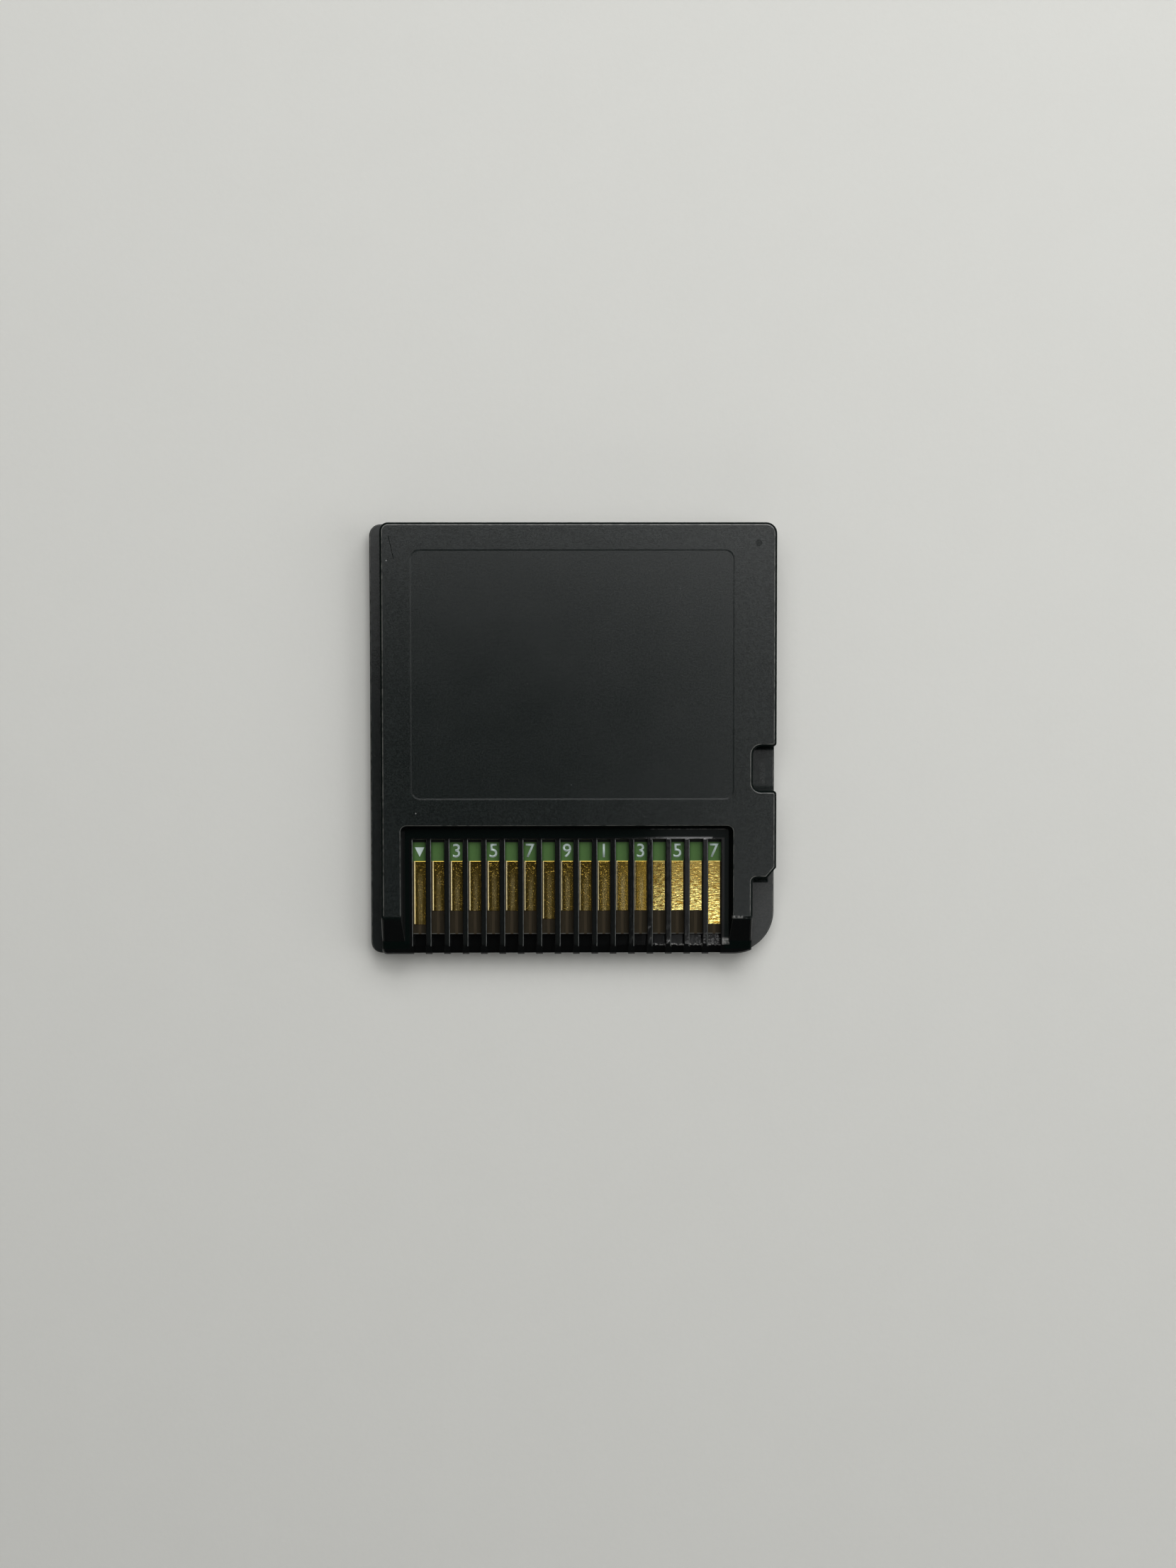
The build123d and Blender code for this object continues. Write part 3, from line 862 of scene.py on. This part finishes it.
def gold_height(wire, marks):
    """Cross brushing, pits, flecks near the head and glints that grow denser towards the right."""
    brushed = grain(wire, marks.place, 0.07 * mm, 3.0, stretch=scratch_stretch)
    scratched = grain(wire, marks.place, 0.075 * mm, 1.0, stretch=scratch_stretch)
    brushing = 0.5 * brushed + (4.4 * scratched - 0.5 * brushed) * marks.scrubbed
    pits = grain(wire, marks.place, 0.05 * mm, 1.0)
    head = marks.y.rises(pad_end_y - 1.5 * mm, pad_end_y - 0.9 * mm)
    flecks = grain(wire, marks.place, 0.12 * mm, 2.0).rises(0.66, 0.7) * head
    denser = 0.025 * marks.x.rises(contact_x(8), contact_x(13))
    glints = (grain(wire, marks.place, 0.08 * mm, 1.0) + denser).rises(0.69, 0.73) * (1 - marks.scrubbed)
    return brushing + 0.9 * pits + 3.0 * flecks + 2.0 * glints + 0.3 * marks.patches


def gold_finish(name):
    finish, wire, shader = start_finish(name)
    marks = gold_marks(wire)
    dots = grain(wire, marks.place, 0.09 * mm, 0.0).rises(0.7, 0.76) * (1 - marks.scrubbed)
    roughness = 0.075 + 0.03 * marks.patches + 0.03 * marks.wiped
    metallic = 1 - 0.11 * marks.wiped - 0.16 * dots
    normal = relief(wire, gold_height(wire, marks), gold_depth, 0.7)
    dress(wire, shader, {"Base Color": gold_colour(wire, marks), "Roughness": roughness})
    dress(wire, shader, {"Metallic": metallic, "Normal": normal})
    return finish


contact_gold = gold_finish("contact_gold_wiped")
print("finish made:", contact_gold.name)

# %% [markdown]
# ## The row of gold pads
# Seventeen pads repeat at one pitch, so Geometry Nodes make the row. One box with many points across is
# bent into a pad: its points are drawn towards the edges, its sides lean in a little as etching leaves them,
# and the top falls away at both ends. A line of points carries the copies, and the first, the last and one
# pad in the middle are stretched towards the nose, because supply and ground meet the springs first. Last,
# the top sinks along the left edge, where the etching left a wide flank. The last four pads are scrubbed
# flat, so they have none.

# %% Name the pad row's inputs
def number_input(tree, name, kind, value):
    """A named input of a Geometry Nodes tree, with its default value."""
    entry = tree.interface.new_socket(name, in_out="INPUT", socket_type=kind)
    entry.default_value = value
    return entry.identifier


pad_row = bpy.data.node_groups.new("gold_pad_row", "GeometryNodeTree")
pad_row.interface.new_socket("Geometry", in_out="OUTPUT", socket_type="NodeSocketGeometry")
pad_sizes = {
    "Pad width": pad_width,
    "Pad length": 4.05 * mm,
    "Pad thickness": 0.05 * mm,
    "Etch taper": 0.03 * mm,
    "Left flank": 0.0792 * mm,
    "Left fall": 0.0086 * mm,
    "Rim": 0.006 * mm,
    "Rim fall": 0.004 * mm,
    "Pitch": contact_pitch,
    "Worn from": contact_x(first_scrubbed - 1) + 0.6 * mm,
    "Outer pad extra": 1.12 * mm,
    "Long pad extra": 0.68 * mm,
}
pad_counts = {"Contacts": contact_count, "Long pad": 8}
pad_entries = {}
for entry_name, entry_value in pad_sizes.items():
    pad_entries[entry_name] = number_input(pad_row, entry_name, "NodeSocketFloat", entry_value)
for entry_name, entry_value in pad_counts.items():
    pad_entries[entry_name] = number_input(pad_row, entry_name, "NodeSocketInt", entry_value)
print("pad row inputs:", list(pad_entries))

# %% Shape one pad
row_wire = Wire(pad_row)
row_names = list(pad_entries)
size = dict(zip(row_names, row_wire.node("NodeGroupInput", out=row_names)))
box_points = {"Vertices X": 17, "Vertices Y": 33, "Vertices Z": 2}


def fall(distance, width, depth):
    """How far the top drops at a distance from an edge: depth at the edge, nothing past width."""
    share = 1 - (distance / width).maths("MINIMUM", 1.0)
    return share * depth


unit_box = row_wire.node("GeometryNodeMeshCube", None, {"Size": (1.0, 1.0, 1.0), **box_points})
point = row_wire.node("GeometryNodeInputPosition")
box_x, box_y, box_z = card_axes(row_wire, point)
turn_x = box_x * math.pi
turn_y = box_y * math.pi
upwards = box_z + 0.5
pad_x = turn_x.maths("SINE") * (size["Pad width"] * 0.5 - upwards * size["Etch taper"])
pad_y = (turn_y.maths("SINE") - 1) * size["Pad length"] * 0.5
foot_fall = fall(pad_y + size["Pad length"], size["Rim"], size["Rim fall"])
head_fall = fall(0 - pad_y, size["Rim"], size["Rim fall"])
pad_z = upwards * (size["Pad thickness"] - (foot_fall + head_fall))
bent_point = row_wire.node("ShaderNodeCombineXYZ", None, {"X": pad_x, "Y": pad_y, "Z": pad_z})
one_pad = row_wire.node("GeometryNodeSetPosition", None, {"Geometry": unit_box, "Position": bent_point})
print("nodes for one pad:", len(pad_row.nodes))

# %% Repeat the pad along the row
row_start = row_wire.node("ShaderNodeCombineXYZ", None, {"X": first_pad_x, "Y": pad_end_y, "Z": board_top})
row_step = row_wire.node("ShaderNodeCombineXYZ", None, {"X": size["Pitch"]})
row_line = {"Count": size["Contacts"], "Start Location": row_start, "Offset": row_step}
row_points = row_wire.node("GeometryNodeMeshLine", None, row_line)
number = row_wire.node("GeometryNodeInputIndex") + 1
is_first = number.maths("COMPARE", 1.0, 0.5)
is_last = number.maths("COMPARE", size["Contacts"], 0.5)
is_long = number.maths("COMPARE", size["Long pad"], 0.5)
extra = (is_first + is_last) * size["Outer pad extra"] + is_long * size["Long pad extra"]
stretched = {"X": 1.0, "Y": extra / size["Pad length"] + 1, "Z": 1.0}
pad_scale = row_wire.node("ShaderNodeCombineXYZ", None, stretched)
copied = {"Points": row_points, "Instance": one_pad, "Scale": pad_scale}
pad_copies = row_wire.node("GeometryNodeInstanceOnPoints", None, copied)
real_pads = row_wire.node("GeometryNodeRealizeInstances", None, {"Geometry": pad_copies})
print("nodes in the row:", len(pad_row.nodes))

# %% Etch the left flanks
row_point = row_wire.node("GeometryNodeInputPosition")
row_place_x, _, row_place_z = card_axes(row_wire, row_point)
from_left = offset_from_pad_middle(row_place_x) + size["Pad width"] * 0.5 - size["Etch taper"]
on_top = row_place_z.rises(board_top, board_top + 0.02 * mm)
unworn = 1 - row_place_x.rises(size["Worn from"], size["Worn from"] + 0.3 * mm)
sunk = fall(from_left, size["Left flank"], size["Left fall"]) * on_top * unworn
sinking = row_wire.node("ShaderNodeCombineXYZ", None, {"Z": 0 - sunk})
etched_pads = row_wire.node("GeometryNodeSetPosition", None, {"Geometry": real_pads, "Offset": sinking})
smooth_pads = row_wire.node("GeometryNodeSetShadeSmooth", None, {"Geometry": etched_pads})
plated = {"Geometry": smooth_pads, "Material": contact_gold}
gold_pads = row_wire.node("GeometryNodeSetMaterial", None, plated)
row_end = pad_row.nodes.new("NodeGroupOutput")
row_wire.feed(row_end.inputs["Geometry"], gold_pads)
print("nodes in the row:", len(pad_row.nodes))

# %% Turn the row into a plain mesh
pad_edge_angle = math.radians(40)


def grown_mesh(name, tree, entries, values):
    """Runs a Geometry Nodes tree on an empty object and keeps the result as a plain mesh."""
    piece = bpy.data.objects.new(name, bpy.data.meshes.new(name))
    bpy.context.scene.collection.objects.link(piece)
    modifier = piece.modifiers.new("grow", "NODES")
    modifier.node_group = tree
    for entry_name, value in values.items():
        modifier[entries[entry_name]] = value
    evaluated = piece.evaluated_get(bpy.context.evaluated_depsgraph_get())
    mesh = bpy.data.meshes.new_from_object(evaluated)
    piece.modifiers.remove(modifier)
    piece.data = mesh
    mesh.name = name
    return piece


gold_contacts = grown_mesh("gold_contacts", pad_row, pad_entries, {**pad_sizes, **pad_counts})
gold_contacts.data.set_sharp_from_angle(angle=pad_edge_angle)
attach(gold_contacts, "root")
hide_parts("contact_pads")
print("pad faces:", len(gold_contacts.data.polygons))

# %% [markdown]
# ## Print on the board
# A pale legend is screen-printed on the green mask: a triangle points at contact 1, and every other contact
# carries the last digit of its number. A texture could show it, but the print is a film about a hundredth of
# a millimetre thick, so it is real geometry on the mask, cut from Blender's plain built-in letters.

# %% The legend ink's finish
ink_pale = colour(0.55, 0.66, 0.63)
ink_thin = colour(0.5, 0.6, 0.57)
ink_height = 0.012 * mm


def ink_finish(name):
    finish, wire, shader = start_finish(name)
    cover = grain(wire, card_place(wire), 0.12 * mm, 3.0)
    ink = cover.rises(0.3, 0.6).tint(ink_thin, ink_pale)
    normal = relief(wire, cover, 0.002 * mm, 0.3)
    dress(wire, shader, {"Base Color": ink, "Roughness": 0.45 + 0.15 * cover, "Normal": normal})
    return finish


legend_ink = ink_finish("legend_ink")
print("finish made:", legend_ink.name)

# %% Flat faces of the triangle and the numbers
legend_y = pad_end_y + 0.86 * mm
digit_height = 1.12 * mm
number_width = 0.74 * mm
letter_weight = 0.006
triangle_width = 0.77 * mm
triangle_height = 0.78 * mm
triangle_y = pad_end_y + 0.75 * mm


def printed_number(number):
    """Flat faces of one number, fitted to its slot."""
    letters = bpy.data.curves.new(f"number_{number}", "FONT")
    letters.body = str(number % 10)
    letters.offset = letter_weight
    carrier = bpy.data.objects.new(f"number_{number}", letters)
    mesh = bpy.data.meshes.new_from_object(carrier)
    bpy.data.objects.remove(carrier)
    xs = [vertex.co.x for vertex in mesh.vertices]
    ys = [vertex.co.y for vertex in mesh.vertices]
    tall = digit_height / (max(ys) - min(ys))
    wide = min(tall, number_width / (max(xs) - min(xs)))
    for vertex in mesh.vertices:
        vertex.co.x = contact_x(number) + (vertex.co.x - (max(xs) + min(xs)) / 2) * wide
        vertex.co.y = legend_y + (vertex.co.y - (max(ys) + min(ys)) / 2) * tall
        vertex.co.z = board_top
    return mesh


def printed_triangle():
    """One flat face, pointing from the mask towards contact 1."""
    mesh = bpy.data.meshes.new("triangle")
    x = contact_x(1)
    corners = [
        (x - triangle_width / 2, triangle_y + triangle_height / 2, board_top),
        (x, triangle_y - triangle_height / 2, board_top),
        (x + triangle_width / 2, triangle_y + triangle_height / 2, board_top),
    ]
    mesh.from_pydata(corners, [], [(0, 1, 2)])
    return mesh


print("digits in mm:", round(number_width / mm, 2), "by", round(digit_height / mm, 2))

# %% Raise the print to a film
def printed_film(piece_name, meshes):
    """Joins flat faces and raises them to a film of ink on the board."""
    build = bmesh.new()
    for mesh in meshes:
        build.from_mesh(mesh)
        bpy.data.meshes.remove(mesh)
    bmesh.ops.remove_doubles(build, verts=build.verts, dist=0.001 * mm)
    raised = bmesh.ops.extrude_face_region(build, geom=build.faces[:], use_keep_orig=True)
    for vertex in raised["geom"]:
        if isinstance(vertex, bmesh.types.BMVert):
            vertex.co.z += ink_height
    bmesh.ops.recalc_face_normals(build, faces=build.faces)
    film = bpy.data.meshes.new(piece_name)
    build.to_mesh(film)
    build.free()
    film.materials.append(legend_ink)
    piece = bpy.data.objects.new(piece_name, film)
    bpy.context.scene.collection.objects.link(piece)
    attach(piece, "root")
    return piece


odd_contacts = range(3, contact_count + 1, 2)
legend = printed_film("board_legend", [printed_triangle()] + [printed_number(n) for n in odd_contacts])
print("legend faces:", len(legend.data.polygons))

# %% [markdown]
# ## The parts under the board
# The chips, their leads and the capacitors are sealed inside, so a simple finish is enough, but each still
# gets the surface that the real part has: matt resin, tin plating and fired ceramic. The three differ only
# in their shades, grain, gloss and metal, so one function makes them all.

# %% Resin, tin and ceramic
resin_shades = (colour(0.016, 0.016, 0.017), colour(0.028, 0.028, 0.028))
tin_shades = (colour(0.5, 0.5, 0.5), colour(0.72, 0.72, 0.7))
ceramic_shades = (colour(0.33, 0.23, 0.15), colour(0.48, 0.36, 0.25))


def plain_finish(name, shades, size, roughness, metallic):
    """A finish that drifts between two shades, with a light grain."""
    finish, wire, shader = start_finish(name)
    cloud = grain(wire, card_place(wire), size, 3.0)
    normal = relief(wire, cloud, 0.01 * mm, 0.3)
    dress(wire, shader, {"Base Color": cloud.tint(*shades), "Roughness": roughness + 0.15 * cloud})
    dress(wire, shader, {"Metallic": metallic, "Normal": normal})
    return finish


chip_resin = plain_finish("chip_resin_matt", resin_shades, size=0.1 * mm, roughness=0.55, metallic=0.0)
lead_tin = plain_finish("lead_tin", tin_shades, size=0.2 * mm, roughness=0.3, metallic=1.0)
fired_ceramic = plain_finish("fired_ceramic", ceramic_shades, size=0.1 * mm, roughness=0.4, metallic=0.0)
inner_finishes = {
    "rom_chip": chip_resin,
    "save_chip": chip_resin,
    "rom_chip_leads": lead_tin,
    "save_chip_leads": lead_tin,
    "capacitor_terminals": lead_tin,
    "capacitors": fired_ceramic,
}
for node_name, finish in inner_finishes.items():
    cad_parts[node_name].data.materials[0] = finish
print("inner finishes:", sorted(inner_finishes))

# %% [markdown]
# ## The floor
# The card lies on pale paper. A flat plane would end in a hard horizon in the low views, so the floor is a
# round sheet turned from a profile: flat under the card, and swept up to a low wall far outside it.

# %% Paper floor
paper_white = colour(0.67, 0.67, 0.64)
paper_shade = colour(0.64, 0.64, 0.61)
flat_profile = [(0.0, 0.0), (0.1, 0.0), (0.42, 0.0)]
wall_profile = [(0.52, 0.012), (0.6, 0.05), (0.65, 0.12), (0.67, 0.25), (0.67, 0.5)]
sweep_steps = 64


def paper_finish(name):
    finish, wire, shader = start_finish(name)
    place = card_place(wire)
    fibres = grain(wire, place, 0.5 * mm, 4.0)
    cloud = grain(wire, place, 6 * mm, 2.0)
    paper = (0.5 * fibres + 0.5 * cloud).tint(paper_shade, paper_white)
    normal = relief(wire, fibres, 0.03 * mm, 0.35)
    dress(wire, shader, {"Base Color": paper, "Roughness": 0.8, "Normal": normal})
    return finish


def turned_sheet(name, profile, steps):
    """A sheet turned about the Z axis from a profile of radius and height."""
    build = bmesh.new()
    points = [build.verts.new((radius, 0.0, front_low.z + height)) for radius, height in profile]
    lines = [build.edges.new(pair) for pair in zip(points, points[1:])]
    turn = {"angle": 2 * math.pi, "steps": steps, "axis": (0, 0, 1), "cent": (0, 0, 0)}
    bmesh.ops.spin(build, geom=points + lines, **turn)
    bmesh.ops.remove_doubles(build, verts=build.verts, dist=0.01 * mm)
    bmesh.ops.recalc_face_normals(build, faces=build.faces)
    middle = min(build.faces, key=lambda face: face.calc_center_median().length)
    if middle.normal.z < 0:
        bmesh.ops.reverse_faces(build, faces=build.faces)
    for face in build.faces:
        face.smooth = True
    mesh = bpy.data.meshes.new(name)
    build.to_mesh(mesh)
    build.free()
    return mesh


floor_mesh = turned_sheet("paper_floor", flat_profile + wall_profile, sweep_steps)
floor_mesh.materials.append(paper_finish("paper_white"))
paper_floor = bpy.data.objects.new("paper_floor", floor_mesh)
bpy.context.scene.collection.objects.link(paper_floor)
print("floor level in mm:", round(front_low.z / mm, 3))

# %% [markdown]
# ## The lights
# Nine panels stand for the bright places of a room. A large one high up at the back right is the main light,
# and the ceiling and side panels beside it lay a grey veil on the matt faces. The right panel and the front
# fill light the low sides. Gold and polished plastic mirror what is above them, so the small panels are
# placed by reflection: a lamp at the front right for the glints on the comb with its glow beside it, a wide
# dim panel that the last four pads mirror, and a narrow strip at the left for the bright line along each pad.

# %% Light panels
def light_panel(name, place, width, length, radiance, aim=None):
    """A rectangular area light with an even radiance over its face, aimed at a point or straight down."""
    lamp = bpy.data.lights.new(name, "AREA")
    lamp.shape = "RECTANGLE"
    lamp.size = width
    lamp.size_y = length
    lamp.energy = radiance * math.pi * width * length
    holder = bpy.data.objects.new(name, lamp)
    bpy.context.scene.collection.objects.link(holder)
    holder.location = place
    aim = aim or (place[0], place[1], 0.0)
    holder.rotation_euler = (Vector(aim) - Vector(place)).to_track_quat("-Z", "Y").to_euler()
    return holder


card_middle = (0.0, 0.0, 0.0)
light_panel("back_panel", (0.10, 0.29, 0.32), width=0.44, length=0.20, radiance=3.6, aim=card_middle)
light_panel("ceiling_panel", (-0.02, 0.195, 0.42), width=0.46, length=0.29, radiance=1.87)
light_panel("side_panel", (0.22, 0.17, 0.40), width=0.37, length=0.36, radiance=0.75)
light_panel("right_panel", (0.40, -0.03, 0.27), width=0.26, length=0.36, radiance=1.6, aim=card_middle)
light_panel("front_lamp", (0.0385, -0.0755, 0.40), width=0.027, length=0.009, radiance=8.0)
light_panel("lamp_glow", (0.0333, -0.044, 0.40), width=0.0214, length=0.032, radiance=0.5)
light_panel("corner_panel", (0.11, -0.065, 0.40), width=0.10, length=0.10, radiance=1.2)
light_panel("left_strip", (-0.0985, -0.053, 0.40), width=0.062, length=0.03, radiance=1.3)
light_panel("front_fill", (0.0, -0.50, 0.20), width=0.60, length=0.25, radiance=0.4, aim=card_middle)

# %% World and view
room_shade = colour(0.02, 0.0205, 0.021)
world = bpy.data.worlds.new("studio")
world.use_nodes = True
world.node_tree.nodes["Background"].inputs["Color"].default_value = room_shade
bpy.context.scene.world = world
bpy.context.scene.view_settings.view_transform = "Standard"
print("world:", world.name)
